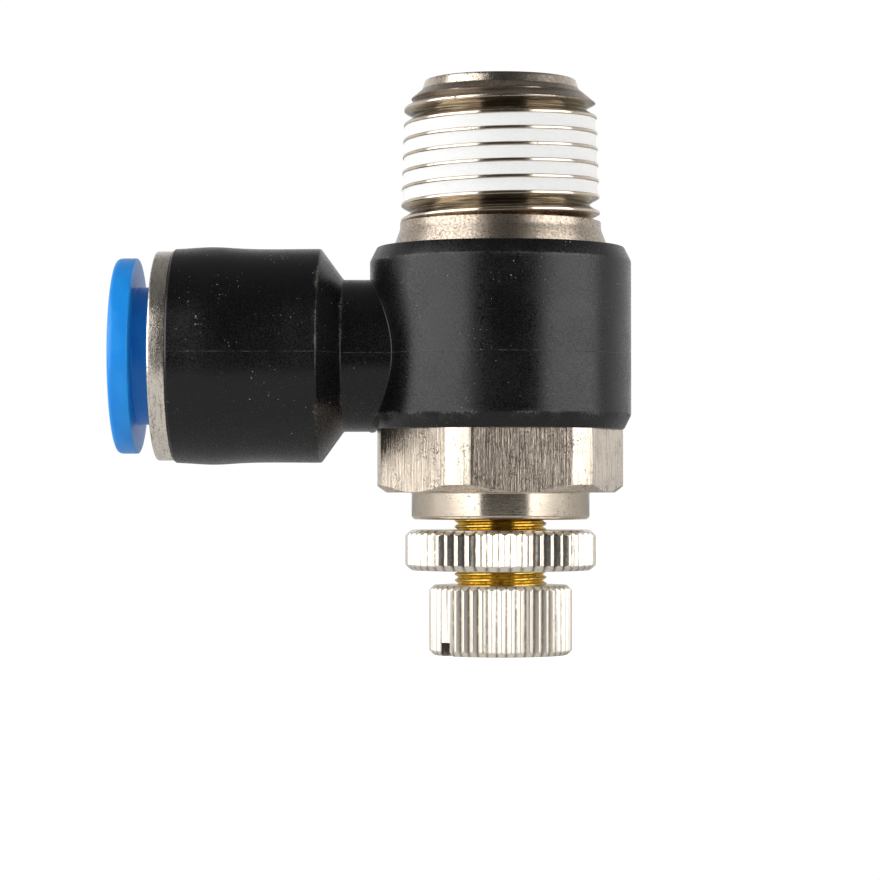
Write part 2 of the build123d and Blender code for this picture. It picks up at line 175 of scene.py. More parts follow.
# sRGB hex code to linear colour with alpha 1
def hexColour(code):
    value = np.array([int(code[k:k + 2], 16) for k in (1, 3, 5)]) / 255.0
    linear = np.where(value <= 0.04045, value / 12.92, ((value + 0.055) / 1.055) ** 2.4)
    return (*linear.tolist(), 1.0)


# adds one node with its settings; an input is a plain value or another node's output, and one output
# is handed back
def addNode(tree, kind, inputs=(), settings=None, output=0):
    node = tree.nodes.new("ShaderNode" + kind)
    for key, value in (settings or {}).items():
        setattr(node, key, value)
    for key, value in (inputs.items() if isinstance(inputs, dict) else enumerate(inputs)):
        if isinstance(value, bpy.types.NodeSocket):
            tree.links.new(value, node.inputs[key])
        else:
            node.inputs[key].default_value = value
    return node.outputs[output] if node.outputs else None


# an empty node material and a short way to add nodes to it
def startMaterial(name):
    material = bpy.data.materials.new(name)
    material.use_nodes = True
    material.node_tree.nodes.clear()
    return material, partial(addNode, material.node_tree)


# noise fields from a table of grain size along X, Y and Z, detail and roughness of the noise
def addGrains(add, where, table):
    fields = {}
    for name, (size, detail, rough) in table.items():
        scale = tuple(1.0 / (side * millimetre) for side in size)
        stretched = add("Mapping", {"Vector": where, "Scale": scale})
        noise = {"Vector": stretched, "Scale": 1.0, "Detail": detail, "Roughness": rough}
        fields[name] = add("TexNoise", noise)
    return fields


# closes a material with its shader; constants go straight on the shader's sockets
def closeMaterial(material, add, colour, roughness, normal, rest):
    inputs = {"Base Color": colour, "Roughness": roughness, "Normal": normal, **rest}
    add("OutputMaterial", {"Surface": add("BsdfPrincipled", inputs)})
    return material


# stem

taperThread = {"pitch": 1.337, "depth": 0.856, "gaugeRadius": 8.331, "taper": 1 / 32, "flank": 27.5,
               "rootHalf": 0.10, "grooveHeight": -2.85, "rootRound": 0.30, "crestRound": 0.10}
stem = {
    "noseTop": 9.0, "shoulder": 8.2, "shoulderRadius": 6.62, "leadSlope": 1.209, "leadRound": 0.10,
    "barbTop": -2.97, "barbLow": -5.02, "journal": 8.38,
    "hexAcross": 19.0, "hexCorner": 10.4, "hexTurn": 11.0, "hexTop": -20.42, "hexLow": -25.73,
    "chamferRadius": 9.6, "chamferIn": 0.8, "chamferUp": 0.55, "collar": 7.56,
    "cornerRound": 0.05, "chamferRound": 0.10, "lowInset": 0.06, "barbClear": 0.07, "nearThread": 0.12,
    "dirtAndShadeGain": 1.4, "dirtAndShadeStart": 0.15,
    "sharpAngle": 38.0, "drillHeight": -14.2, "drillRadius": 2.2, "drillHalf": 7.4, "drillTurns": (45, 135),
    # (radius, height) outlines and the cut of each corner
    "port": [(5.2, -2.0), (5.2, 8.7), (5.5, 9.0), (6.36, 9.0), (6.425, 8.8), (6.607, 8.24), (6.62, 8.2)],
    "portCuts": [0, 0.05, 0.08, 0.08, 0, 0, 0],
    "shank": [(7.6, -2.97), (8.46, -2.97), (8.46, -3.56), (9.0, -5.02), (8.38, -5.02), (8.38, -7.85),
              (7.15, -7.85), (7.15, -9.55), (8.38, -9.55), (8.38, -11.4), (6.6, -11.4), (6.6, -17.0),
              (8.38, -17.0), (8.38, -17.9), (7.15, -17.9), (7.15, -19.6), (8.38, -19.6), (8.38, -20.42)],
    "shankCuts": [0, 0.07, 0.25, 0.06] + [0.05] * 13 + [0],
    "bore": [(7.56, -25.73), (7.5, -25.79), (7.5, -27.73), (7.25, -27.98), (4.23, -27.98), (3.93, -27.68),
             (3.93, -25.3), (4.15, -25.3), (4.15, -19.0), (4.3, -18.8), (4.3, -8.5), (5.2, -8.5),
             (5.2, -2.1)],
    "boreCuts": [0, 0.03, 0.08, 0.08, 0.05, 0.05] + [0.02] * 6 + [0],
}


# nickel-plated brass, turned and drawn bar: warm grey metal, with fine rings on the turned parts, long draw
# lines on the hex and the nose wall, torn grain with painted shade on the lead and the barb, brown stain with
# painted shade in the thread grooves, and small dark pits. The real lines and grain are about 0.05 mm apart
# and are drawn at 0.12 mm or more to show
def turnedNickel():
    look = {"plate": "#DACCBA", "drawn": "#FFEFDC", "shade": "#978A7D", "thin": "#ABA08E", "stain": "#51483C",
            "pit": "#3A3128", "stains": (0.42, 0.60), "streaks": (0.34, 0.64),
            "tearsAndShade": (0.36, 0.60, 0.25, 1.0),
            "pits": (0.80, 0.85), "pitShare": (0.0, 0.4, 0.9, 0.35), "blotchShare": 0.35, "hexPits": 0.03,
            "hexStreaks": 0.7, "wallStreaks": 0.55, "polish": (0.3, 0.8, 0.10, 0.26), "hexDull": 0.05,
            "tornDull": 0.14, "lineRelief": 0.021, "grooveLines": 0.45, "lineShare": (0.0, 1.0, 0.10, 1.0),
            "gritRelief": 0.012, "hexGrit": 0.35, "gritShare": (0.0, 1.0, 0.15, 1.0)}
    grains = {"drawLines": ((0.12, 0.12, 3.5), 4.0, 0.75), "rings": ((6.0, 6.0, 0.10), 3.0, 0.6),
              "grit": ((0.20, 0.20, 0.16), 3.0, 0.8), "blotch": ((1.6, 1.6, 1.6), 2.0, 0.5)}
    # heights between which each part of the stem begins and ends
    barbLow, barbTop, shoulder = stem["barbLow"], stem["barbTop"], stem["shoulder"]
    spans = {"hex": (stem["hexLow"], stem["hexLow"] + 0.05, stem["hexTop"] + 0.02, stem["hexTop"] + 0.12),
             "barb": (barbLow - 0.08, barbLow + 0.02, barbTop - 0.03, barbTop + 0.07),
             "lead": (shoulder - 1.6, shoulder - 1.2, shoulder, shoulder + 0.1),
             "wall": (shoulder, shoulder + 0.1, stem["noseTop"] + 0.1, stem["noseTop"] + 0.2)}
    material, add = startMaterial("nickelPlatedBrassTurned")
    where = add("TexCoord", output="Object")
    field = addGrains(add, where, grains)
    height = add("SeparateXYZ", [where], output="Z")
    on = {}
    for part, (start, full, last, end) in spans.items():
        rise = add("MapRange", (height, start * millimetre, full * millimetre))
        fall = add("MapRange", (height, end * millimetre, last * millimetre))
        on[part] = add("Math", (rise, fall), multiply)
    torn = add("Math", (on["barb"], on["lead"]), larger)
    cavity = add("Attribute", settings={"attribute_name": "cavity"}, output="Fac")

    # colour: plate, brown stain with painted shade in the grooves, streaked bar, torn grain with painted
    # shade, then pits
    stains = add("MapRange", (field["rings"], *look["stains"]))
    groove = add("Mix", {0: stains, 6: hexColour(look["thin"]), 7: hexColour(look["stain"])}, colours, 2)
    # the thread grooves are mixed towards brown by their depth: partly stain, partly painted shade
    plated = add("Mix", {0: cavity, 6: hexColour(look["plate"]), 7: groove}, colours, 2)
    streaks = add("MapRange", (field["drawLines"], *look["streaks"]))
    streaked = add("Mix", {0: streaks, 6: hexColour(look["shade"]), 7: hexColour(look["drawn"])}, colours, 2)
    barShare = add("Math", (on["wall"], look["wallStreaks"]), multiply)
    barShare = add("Math", (on["hex"], look["hexStreaks"], barShare), multiplyAdd)
    bar = add("Mix", {0: barShare, 6: plated, 7: streaked}, colours, 2)
    # painted shade: the lead and the barb are mixed at least a quarter of the way to the shade colour, with
    # the torn grain on top
    tornAndShadedShare = add("Math", (torn, add("MapRange", (field["grit"], *look["tearsAndShade"]))), multiply)
    shaded = add("Mix", {0: tornAndShadedShare, 6: bar, 7: hexColour(look["shade"])}, colours, 2)
    pitField = add("Math", (field["blotch"], look["blotchShare"], field["grit"]), multiplyAdd)
    pitField = add("Math", (on["hex"], look["hexPits"], pitField), multiplyAdd)
    pits = add("MapRange", (pitField, *look["pits"]))
    pitShare = add("Math", (pits, add("MapRange", (cavity, *look["pitShare"]))), multiply)
    colour = add("Mix", {0: pitShare, 6: shaded, 7: hexColour(look["pit"])}, colours, 2)

    # roughness: duller on the hex and where the grain is torn
    dull = add("MapRange", (field["grit"], *look["polish"]))
    dull = add("Math", (on["hex"], look["hexDull"], dull), multiplyAdd)
    dull = add("Math", (torn, look["tornDull"], dull), multiplyAdd)

    # relief: draw lines on the hex and the wall, rings elsewhere, with the grit over them
    straight = add("Math", (on["hex"], on["wall"]), larger)
    lines = add("Mix", {0: straight, 2: field["rings"], 3: field["drawLines"]}, numbers)
    grooved = add("Math", (on["wall"], cavity), larger)
    lineShare = add("Math", (grooved, look["grooveLines"], on["hex"]), multiplyAdd)
    lineHeight = add("Math", (lines, add("MapRange", (lineShare, *look["lineShare"]))), multiply)
    lined = add("Bump", {"Height": lineHeight, "Distance": look["lineRelief"] * millimetre})
    gritShare = add("Math", (torn, add("Math", (on["hex"], look["hexGrit"]), multiply)), larger)
    gritHeight = add("Math", (field["grit"], add("MapRange", (gritShare, *look["gritShare"]))), multiply)
    normal = add("Bump", {"Height": gritHeight, "Distance": look["gritRelief"] * millimetre, "Normal": lined})
    return closeMaterial(material, add, colour, dull, normal, {"Metallic": 1.0})


# angles of the stem's columns in degrees: close together at the edges of the hex and its turned corners
def stemColumns():
    edge = np.array([22, 23.1, 23.6, 23.9, 24.1, 24.4, 24.9, 26.2, 28])
    offsets = np.concatenate([[-30], -edge[::-1], np.linspace(-20, 20, 15), edge])
    middles = stem["hexTurn"] + 30.0 + 60.0 * np.arange(6)
    degrees = np.sort((middles[:, None] + offsets[None, :]).ravel() % 360.0)
    return np.radians(np.append(degrees, degrees[0] + 360.0))


# radius of a hexagon at each angle, with its corners turned down to a cylinder
def hexRadius(angles):
    fromFlat = (np.degrees(angles) - stem["hexTurn"]) % 60.0 - 30.0
    flat = 0.5 * stem["hexAcross"] / np.cos(np.radians(fromFlat))
    return smoothMin(flat, stem["hexCorner"] + 0.0 * flat, stem["cornerRound"])


# the stem is turned about its axis from the port down: each block of rows is an outline, the thread's helix
# or the hex, and the rows close on themselves through the bore
def makeStem():
    angles = stemColumns()
    a = angles[None, :]
    ones = np.ones_like(a)
    heights, radii = [], []

    # rows of a plain turned outline, its corners eased
    def addOutline(points, cuts, steps=4):
        closed = roundOutline(points, cuts, steps)
        keep = closed[steps - 1:len(closed) - steps + 1]
        heights.append(keep[:, 1][:, None] * ones)
        radii.append(keep[:, 0][:, None] * ones)

    addOutline(stem["port"], stem["portCuts"])

    # thread, cut at the top by the lead cone
    halfPhases = np.array([0.0, 0.05, 0.10, 0.15, 0.21, 0.28, 0.345, 0.38, 0.41, 0.44, 0.47])
    phases = np.concatenate([halfPhases, [0.5], 1.0 - halfPhases[:0:-1]])
    z = helixRows(stem["barbTop"], stem["shoulder"], angles, phases, taperThread)[::-1]
    lead = stem["shoulderRadius"] + (stem["shoulder"] - z) * stem["leadSlope"]
    heights.append(z)
    radii.append(smoothMin(threadRadius(z, a, taperThread), lead, stem["leadRound"]))

    addOutline(stem["shank"], stem["shankCuts"])

    # hex: upper face, flats with a chamfered lower end, lower face
    side = hexRadius(angles)[None, :]
    share = np.array([0.0, 0.4, 0.8, 1.0])[:, None]
    heights.append(stem["hexTop"] * np.ones_like(share) * ones)
    radii.append(stem["journal"] + (side - stem["cornerRound"] - stem["journal"]) * share)
    flatRows = stem["hexTop"] - np.array([0.02, 0.05, 1.08, 2.18, 3.28, 4.18])
    chamferRows = stem["hexLow"] + np.linspace(0.83, 0.03, 17)
    z = np.concatenate([flatRows, chamferRows])[:, None] * ones
    cone = stem["chamferRadius"] + (z - stem["hexLow"]) * stem["chamferIn"] / stem["chamferUp"]
    heights.append(z)
    radii.append(smoothMin(side + 0.0 * z, cone, stem["chamferRound"]))
    lower = smoothMin(side, stem["chamferRadius"] + 0.0 * side, stem["chamferRound"]) - stem["lowInset"]
    heights.append(stem["hexLow"] * np.ones_like(share) * ones)
    radii.append(lower + (stem["collar"] - lower) * share)

    addOutline(stem["bore"], stem["boreCuts"])

    # how deep each point of the thread lies in its groove, from 0 at the crest to 1
    z, r = np.concatenate(heights), np.concatenate(radii)
    thread = threadRadius(z, a, taperThread)
    grooveDepth = (taperThread["gaugeRadius"] - taperThread["taper"] * z - thread) / taperThread["depth"]
    onThread = (z > stem["barbTop"] + stem["barbClear"]) & (r > thread - stem["nearThread"])
    # groove colour share from depth: brown stain and painted shade, strongest at the groove bottoms
    dirtAndShade = np.clip(grooveDepth * stem["dirtAndShadeGain"] - stem["dirtAndShadeStart"], 0.0, 1.0)
    cavity = np.where(onThread, dirtAndShade, 0.0)
    return gridObject("stemTurned", r * np.cos(a), r * np.sin(a), z, closeColumns=False,
                      sharpAngle=stem["sharpAngle"], attributes={"cavity": cavity})


# cross holes through the wide groove, each a cylinder across the stem
def makeDrill(degrees):
    half, radius = stem["drillHalf"], stem["drillRadius"]
    profile = np.array([(-half, 0.0), (-half, radius), (half, radius), (half, 0.0)])
    x, y, z = tubeGrid(profile, np.linspace(0, turn, 48, endpoint=False), stem["drillHeight"])
    c, s = math.cos(math.radians(degrees)), math.sin(math.radians(degrees))
    return gridObject("drill", x * c - y * s, x * s + y * c, z, closeRows=False)


stemPiece = makeStem()
combine(stemPiece, [makeDrill(degrees) for degrees in stem["drillTurns"]], "DIFFERENCE", stem["sharpAngle"])
finishPiece(stemPiece, turnedNickel(), "stem", "nickel_stem", "stem_body")
print("stem made", len(stemPiece.data.polygons))


# thread sealant

sealant = {"top": 5.50, "low": -1.18, "lip": 0.02, "dip": 0.17, "crestHalf": 0.10, "crestDip": 0.09,
           "feather": 0.16, "columns": 217, "under": 0.05, "overrun": 1.2,
           "crestEdge": 0.05, "waveShare": 0.4,
           # height of each wave, how often it goes round, and how far it leans along the axis
           "waves": [(0.018, 7, 3.1), (0.012, 17, -5.3), (0.008, 41, 2.0)]}


# fluoropolymer thread sealant, brushed on and cured: matt white film with a soft uneven skin
def curedSealant():
    look = {"film": "#FEFEFD", "shade": "#F6F5F3", "ior": 1.38, "roughness": 0.55, "relief": 0.02}
    material, add = startMaterial("sealantCuredWhite")
    where = add("TexCoord", output="Object")
    skin = addGrains(add, where, {"skin": ((0.45, 0.45, 0.16), 3.0, 0.6)})["skin"]
    share = add("MapRange", (skin, 0.5, 0.8))
    colour = add("Mix", {0: share, 6: hexColour(look["film"]), 7: hexColour(look["shade"])}, colours, 2)
    normal = add("Bump", {"Height": skin, "Distance": look["relief"] * millimetre})
    return closeMaterial(material, add, colour, look["roughness"], normal, {"IOR": look["ior"]})


# film surface: a shallow trough between neighbouring crests, which stand bare; three long waves make it
# uneven, it ends on a helix line at each end, and the jump of one pitch lies at the back
def makeSealant():
    halfPhases = np.array([0.0, 0.1, 0.2, 0.3, 0.38, 0.42, 0.445, 0.46, 0.475])
    phases = np.concatenate([halfPhases, [0.5, 0.525, 0.54, 0.555, 0.58, 0.62, 0.7, 0.8, 0.9]])
    angles = np.linspace(0.0, turn, sealant["columns"])
    low, top = sealant["low"] - sealant["overrun"], sealant["top"] + sealant["overrun"]
    z = helixRows(low, top, angles, phases, taperThread)
    a = angles[None, :] + 0.0 * z
    crest = taperThread["gaugeRadius"] - taperThread["taper"] * z
    turns = (z - taperThread["grooveHeight"]) / taperThread["pitch"] - a / turn
    across = np.abs((turns + 0.5) % 1.0 - 0.5) / 0.5
    wave = sum(size * np.sin(often * a + lean * z) for size, often, lean in sealant["waves"])
    bare = np.clip((across - 1.0 + sealant["crestHalf"] + 0.5 * wave) / sealant["crestEdge"], 0.0, 1.0)
    trough = sealant["dip"] * (1.0 - across ** 3) + sealant["crestDip"] * bare
    film = crest + sealant["lip"] - trough + sealant["waveShare"] * wave
    pitchShare = taperThread["pitch"] * (((a - math.pi / 2) % turn) / turn - 0.5)
    inside = np.minimum(sealant["top"] + pitchShare - z, z - sealant["low"] - pitchShare) + wave
    floor = crest - taperThread["depth"] - sealant["under"]
    feathered = floor + 0.01 + (film - floor) * np.clip(1.0 + inside / sealant["feather"], 0.0, 1.0)
    outer = np.where(inside > 0, film, feathered)
    z, r = np.concatenate([z, z[::-1]]), np.concatenate([outer, floor[::-1]])
    a = np.concatenate([a, a[::-1]])
    return gridObject("sealantFilm", r * np.cos(a), r * np.sin(a), z, closeColumns=False, sharpAngle=60.0)


sealantPiece = makeSealant()
finishPiece(sealantPiece, curedSealant(), "stem", "white_sealant", "thread_sealant")
print("sealant made", len(sealantPiece.data.polygons))


# elbow body

elbow = {
    "banjoRadius": 11.0, "banjoTop": -5.10, "banjoLow": -20.42, "chamferIn": 0.6, "chamferUp": 1.2,
    "axis": -14.2, "neckRadius": 6.41, "fillet": 0.09, "edge": 0.14, "wearAndHighlightRun": 0.35,
    "columns": 240, "armColumns": 180,
    "barrelRadius": 9.0, "barrelEnd": -27.3, "coneStart": -15.1, "coneEnd": -13.2,
    "swell": 0.185, "swellAt": -24.2, "swellRun": 2.3, "shoulderSwell": 0.02, "shoulderRun": 2.5,
    "hexClearance": 10.6, "clearanceDepth": 3.2, "sliver": 0.0005, "boreRound": 0.05,
    "wearAndHighlightAlong": 0.12, "wearAndHighlightOut": 0.15, "neckEdge": 0.04,
    # (station, radius) of the rounded end of the barrel, and of the cone down to the neck
    "barrelMouth": [(-27.5, 0.0), (-27.5, 8.2), (-27.5, 8.82), (-27.46, 8.91), (-27.38, 8.96)],
    "cone": [(-15.45, 9.02), (-15.1, 9.02), (-14.91, 8.759), (-13.39, 6.671), (-13.2, 6.41), (-12.9, 6.41)],
    # (radius, height) of the banjo bore with its gallery, and (station, radius) of the stepped socket
    "bore": [(0, -21.42), (8.45, -21.42), (8.45, -16.7), (9.3, -16.1), (9.3, -12.3), (8.45, -11.7),
             (8.45, -4.1), (0, -4.1)],
    "socket": [(-8.6, 0), (-8.6, 3.9), (-16.0, 3.9), (-16.0, 5.1), (-20.2, 5.1), (-20.2, 7.0), (-23.5, 7.0),
               (-23.5, 8.0), (-28.5, 8.0), (-28.5, 0)],
}


# glass-filled PBT, injection moulded with a spark-eroded grain: soft sheen, pale dust in the grain and a
# faint witness line where the two mould halves met at the height of the tube axis. The real grain is about
# 0.05 mm and is drawn at 0.15 mm to show
def mouldedBlack():
    look = {"plastic": "#0B0B0C", "mottle": "#151413", "wornAndHighlight": "#66635F", "dust": "#A9A69F",
            "line": "#6B6863",
            "ior": 1.45, "mottles": (0.4, 0.75, 0.0, 0.35), "dustField": (1.02, 1.05), "dustShare": 0.8,
            "lineHalf": (0.045, 0.01), "lineBreaks": (0.40, 0.62), "lineShare": 0.4, "lineRelief": 0.015,
            "wearAndHighlightPatches": (0.44, 0.56), "wearAndHighlightFlecks": (0.42, 0.6, 0.1, 1.0),
            "polish": (0.38, 0.64, 0.15, 0.38),
            "cloudDull": (0.40, 0.62, 0.0, 0.08), "skinRelief": 0.008}
    grains = {"skin": ((0.15, 0.15, 0.15), 3.0, 0.7), "cloud": ((4.5, 4.5, 4.5), 3.0, 0.55),
              "fleck": ((0.20, 0.20, 0.20), 2.0, 0.5), "patches": ((2.4, 2.4, 2.4), 2.0, 0.5),
              "breaks": ((0.7, 0.7, 0.7), 3.0, 0.7)}
    material, add = startMaterial("pbtMouldedBlack")
    where = add("TexCoord", output="Object")
    field = addGrains(add, where, grains)
    height = add("SeparateXYZ", [where], output="Z")

    # witness line: 1 within its half width of the tube axis, broken along its length
    offLine = add("Math", (height, -elbow["axis"] * millimetre), {"operation": "ADD"})
    offLine = add("Math", [offLine], positive)
    onLine = add("MapRange", (offLine, *(half * millimetre for half in look["lineHalf"])))
    seam = add("Math", (onLine, add("MapRange", (field["breaks"], *look["lineBreaks"]))), multiply)

    # colour: mottled plastic, pale edges that are partly wear and partly painted highlight, witness line,
    # then dust
    mottles = add("MapRange", (field["cloud"], *look["mottles"]))
    base = add("Mix", {0: mottles, 6: hexColour(look["plastic"]), 7: hexColour(look["mottle"])}, colours, 2)
    edge = add("Attribute", settings={"attribute_name": "edgeWearAndHighlight"}, output="Fac")
    # painted highlight: the edges are mixed towards pale grey, partly wear and partly painted highlight
    wearAndHighlight = add("Math", (edge, add("MapRange", (field["patches"], *look["wearAndHighlightPatches"]))), multiply)
    wearAndHighlight = add("Math", (wearAndHighlight, add("MapRange", (field["fleck"], *look["wearAndHighlightFlecks"]))), multiply)
    scuffedAndHighlit = add("Mix", {0: wearAndHighlight, 6: base, 7: hexColour(look["wornAndHighlight"])}, colours, 2)
    lineShare = add("Math", (seam, look["lineShare"]), multiply)
    lined = add("Mix", {0: lineShare, 6: scuffedAndHighlit, 7: hexColour(look["line"])}, colours, 2)
    dustField = add("Math", (field["patches"], 0.5, field["fleck"]), multiplyAdd)
    dust = add("Math", (add("MapRange", (dustField, *look["dustField"])), look["dustShare"]), multiply)
    colour = add("Mix", {0: dust, 6: lined, 7: hexColour(look["dust"])}, colours, 2)

    # sheen: the grain and the clouds change it, and the skin and the witness line stand out
    cloudDull = add("MapRange", (field["cloud"], *look["cloudDull"]))
    skinDull = add("MapRange", (field["skin"], *look["polish"]))
    dull = add("Math", (skinDull, cloudDull), {"operation": "ADD"})
    skinned = add("Bump", {"Height": field["skin"], "Distance": look["skinRelief"] * millimetre})
    normal = add("Bump", {"Height": seam, "Distance": look["lineRelief"] * millimetre, "Normal": skinned})
    return closeMaterial(material, add, colour, dull, normal, {"IOR": look["ior"]})


# the banjo is a turned outline, with a row beside each edge that keeps the pale edge mark, partly wear and
# partly painted highlight, close to it
def makeBanjo(angles):
    big, edge = elbow["banjoRadius"], elbow["edge"]
    low, top = elbow["banjoLow"], elbow["banjoTop"]
    wallLow, wallTop, face = low + elbow["chamferUp"], top - elbow["chamferUp"], big - elbow["chamferIn"]
    outline = [(0, low), (face, low), (big, wallLow), (big, wallLow + elbow["wearAndHighlightRun"]),
               (big, wallTop - elbow["wearAndHighlightRun"]), (big, wallTop), (face, top), (0, top)]
    x, y, z = turnedGrid(roundOutline(outline, [0, edge, edge, 0, 0, edge, edge, 0]), angles)
    return gridObject("elbowMoulded", x, y, z, closeRows=False)


# the barrel, cone and neck are a turned outline about the tube axis whose last rows flare along a parabola
# onto the banjo's cylinder, so the two meet in a soft inside corner; the barrel swells like a bell curve
def makeArm(around):
    big, neck, fillet, axis = elbow["banjoRadius"], elbow["neckRadius"], elbow["fillet"], elbow["axis"]
    barrel = elbow["barrelRadius"]
    station = np.linspace(elbow["barrelEnd"], elbow["coneStart"], 25)[:-2]
    swell = elbow["swell"] * np.exp(-((station - elbow["swellAt"]) / elbow["swellRun"]) ** 2)
    swell += elbow["shoulderSwell"] * np.exp(-((station - elbow["coneStart"]) / elbow["shoulderRun"]) ** 2)
    cone = roundOutline(elbow["cone"], [0, elbow["edge"], 0, 0, elbow["edge"], 0])[4:-4]
    outline = np.concatenate([elbow["barrelMouth"], np.stack([station, barrel + swell], axis=1), cone])
    x, y, z = tubeGrid(outline, around, axis)
    flare = neck + fillet
    side = np.sin(around)[None, :]
    meet = -np.sqrt(big ** 2 - (neck * side) ** 2)
    start, end = meet - fillet, -np.sqrt(big ** 2 - (flare * side) ** 2) + 0.04
    t = np.linspace(0, 1, 7)[:, None]
    flareX = (1 - t) ** 2 * start + 2 * t * (1 - t) * meet + t ** 2 * end
    flareR = (1 - t ** 2) * neck + t ** 2 * flare
    innerX, innerY, innerZ = tubeGrid(np.array([(-8.0, flare - 0.3), (-5.0, 0.0)]), around, axis)
    x = np.concatenate([x, flareX, innerX])
    y = np.concatenate([y, flareR * side, innerY])
    z = np.concatenate([z, axis + flareR * np.cos(around)[None, :], innerZ])
    return gridObject("arm", x, y, z, closeRows=False)


# everything cut out of the elbow: hex clearance under the neck, banjo bore and socket
def makeElbowCutters(angles, around):
    low, wide = elbow["banjoLow"], elbow["hexClearance"]
    start, end = low - elbow["clearanceDepth"], low - elbow["sliver"]
    under = turnedGrid(np.array([(0, start), (wide, start), (wide, end), (0, end)]), angles)
    bore = turnedGrid(roundOutline(elbow["bore"], elbow["boreRound"], 3), angles)
    socket = tubeGrid(roundOutline(elbow["socket"], elbow["boreRound"], 3), around, elbow["axis"])
    return [gridObject("cutter", *grid, closeRows=False) for grid in (under, bore, socket)]


# pale edge lines, partly wear and partly painted highlight, are a narrow bell curve about each edge: the two
# ends of the cone and the banjo's two edges
def addEdgeWearAndHighlight(obj):
    points = np.empty(len(obj.data.vertices) * 3, np.float32)
    obj.data.vertices.foreach_get("co", points)
    x, y, z = (points.reshape(-1, 3) / millimetre).T
    fromAxis, fromStem = np.hypot(y, z - elbow["axis"]), np.hypot(x, y)
    low, top = elbow["banjoLow"] + elbow["chamferUp"], elbow["banjoTop"] - elbow["chamferUp"]
    edges = [(1.0, x, elbow["coneStart"], fromAxis, elbow["barrelRadius"]),
             (0.7, x, elbow["coneEnd"], fromAxis, elbow["neckRadius"] + elbow["neckEdge"]),
             (0.8, z, low, fromStem, elbow["banjoRadius"]), (0.4, z, top, fromStem, elbow["banjoRadius"])]
    wearAndHighlight = 0.0
    for amount, along, place, out, radius in edges:
        away = ((along - place) / elbow["wearAndHighlightAlong"]) ** 2 + ((out - radius) / elbow["wearAndHighlightOut"]) ** 2
        wearAndHighlight = wearAndHighlight + amount * np.exp(-away)
    obj.data.attributes.new("edgeWearAndHighlight", "FLOAT", "POINT").data.foreach_set("value", wearAndHighlight.astype(np.float32))


banjoAngles = np.linspace(0, turn, elbow["columns"], endpoint=False)
armAngles = np.linspace(0, turn, elbow["armColumns"], endpoint=False)
elbowPiece = combine(makeBanjo(banjoAngles), [makeArm(armAngles)], "UNION")
combine(elbowPiece, makeElbowCutters(banjoAngles, armAngles), "DIFFERENCE", 25.0)
addEdgeWearAndHighlight(elbowPiece)
finishPiece(elbowPiece, mouldedBlack(), "elbow", "black_plastic", "elbow_body")
print("elbow made", len(elbowPiece.data.polygons))


# cap ring and release collet: outlines of (station, radius) turned about the tube axis

capRing = {"outline": [(-28.95, 6.25), (-28.95, 8.83), (-27.5, 8.83), (-27.5, 7.98), (-25.6, 7.98),
                       (-25.6, 6.6), (-27.3, 6.6), (-27.3, 6.0), (-28.7, 6.0)],
           "cuts": [0.1, 0.22, 0.06, 0.05, 0.05, 0.05, 0.05, 0.05, 0.1]}
collet = {"outline": [(-32.3, 5.55), (-32.3, 8.25), (-30.57, 8.25), (-30.57, 5.8), (-27.2, 5.8), (-27.2, 6.4),
                      (-26.85, 6.4), (-26.55, 5.8), (-26.55, 5.1), (-31.85, 5.1)],
          "cuts": [0.25, 0.5, 0.14, 0.12, 0.04, 0.05, 0.08, 0.08, 0.05, 0.25]}


# nickel plating over a rough turned brass ring: tool lines run round the ring, with torn dark and bright
# flecks. The real lines are about 0.1 mm apart and are drawn at 0.19 mm to show
def tumbledNickel():
    look = {"plate": "#F6EDE0", "shade": "#97897A", "pore": "#2A241E", "shading": (0.50, 0.60, 0.0, 0.7),
            "pores": (0.60, 0.66), "polish": (0.3, 0.75, 0.16, 0.34), "lineRelief": 0.010,
            "fleckRelief": 0.016}
    grains = {"toolLines": ((0.19, 1.6, 1.6), 4.0, 0.7), "flecks": ((0.16, 0.30, 0.30), 4.0, 0.8)}
    material, add = startMaterial("nickelPlatedBrassTumbled")
    where = add("TexCoord", output="Object")
    field = addGrains(add, where, grains)
    both = add("Math", (field["flecks"], 0.5), multiply)
    both = add("Math", (field["toolLines"], 0.5, both), multiplyAdd)
    shading = add("MapRange", (both, *look["shading"]))
    shaded = add("Mix", {0: shading, 6: hexColour(look["plate"]), 7: hexColour(look["shade"])}, colours, 2)
    pores = add("MapRange", (both, *look["pores"]))
    colour = add("Mix", {0: pores, 6: shaded, 7: hexColour(look["pore"])}, colours, 2)
    dull = add("MapRange", (field["flecks"], *look["polish"]))
    lined = add("Bump", {"Height": field["toolLines"], "Distance": look["lineRelief"] * millimetre})
    fleckRelief = look["fleckRelief"] * millimetre
    normal = add("Bump", {"Height": field["flecks"], "Distance": fleckRelief, "Normal": lined})
    return closeMaterial(material, add, colour, dull, normal, {"Metallic": 1.0})


